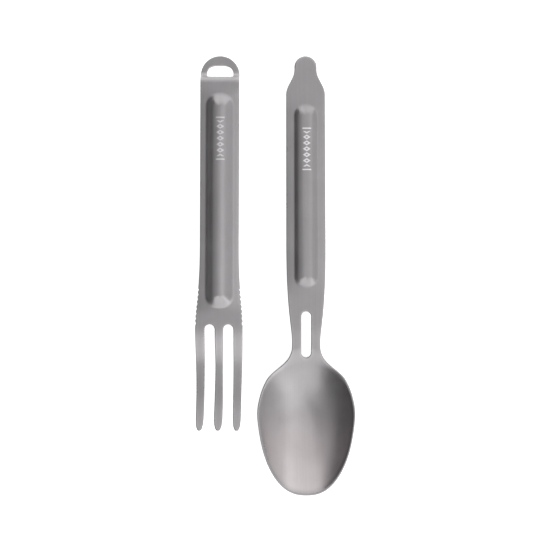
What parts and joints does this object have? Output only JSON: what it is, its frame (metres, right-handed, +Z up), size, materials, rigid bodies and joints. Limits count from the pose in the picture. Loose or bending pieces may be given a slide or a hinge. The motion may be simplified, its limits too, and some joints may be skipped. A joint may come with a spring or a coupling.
{
  "type": "picnic cutlery set",
  "caption": "Picnic cutlery pressed from titanium sheet: a fork with a ring end and a spoon with a slotted neck, lying face up side by side.",
  "frame": {"origin": "centre of the set on the table: half way across and along it, at z = 0", "axes": "+Y from the tip of the spoon's bowl to the end of its handle, +Z up out of the bowl, +X from the fork to the spoon"},
  "size_m": [0.0698, 0.1912, 0.0129],
  "materials": {
    "fork_titanium": "bead-blasted titanium, dull grey with a faint violet tint",
    "spoon_titanium": "bead-blasted titanium, dull grey with a faint violet tint, smoother in the bowl"
  },
  "bodies": {
    "spoon": {"spoon": "spoon_titanium"},
    "fork": {"fork": "fork_titanium"}
  },
  "joints": [
    {"name": "fork_lift", "type": "slide", "parent": "spoon", "child": "fork", "axis": [0, 0, 1], "range_m": [0, 0.06]}
  ]
}
